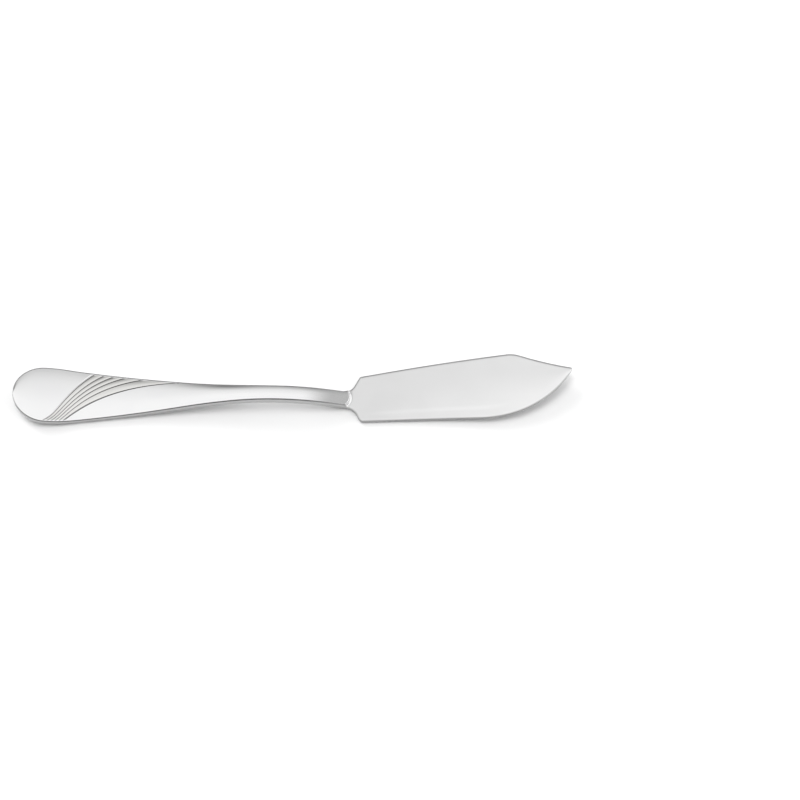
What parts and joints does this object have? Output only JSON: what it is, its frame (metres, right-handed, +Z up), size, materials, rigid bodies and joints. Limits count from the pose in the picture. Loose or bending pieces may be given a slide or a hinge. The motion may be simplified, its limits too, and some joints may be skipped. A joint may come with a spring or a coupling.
{
  "type": "fish knife",
  "caption": "One-piece table knife for fish: a spoon-ended handle with engraved curved lines, a narrow arched neck and a thin, broad, blunt blade with a raised tip.",
  "frame": {"origin": "on the table under the middle of the knife's length and width, as it lies at rest", "axes": "+X along the knife from the round end of the handle to the tip, +Y from the belly of the blade to its spine, +Z up from the table through the face"},
  "size_m": [0.2046, 0.0292, 0.0081],
  "materials": {
    "polished_steel": "mirror-polished stainless steel"
  },
  "bodies": {
    "root": {"fish_knife": "polished_steel"}
  },
  "joints": []
}
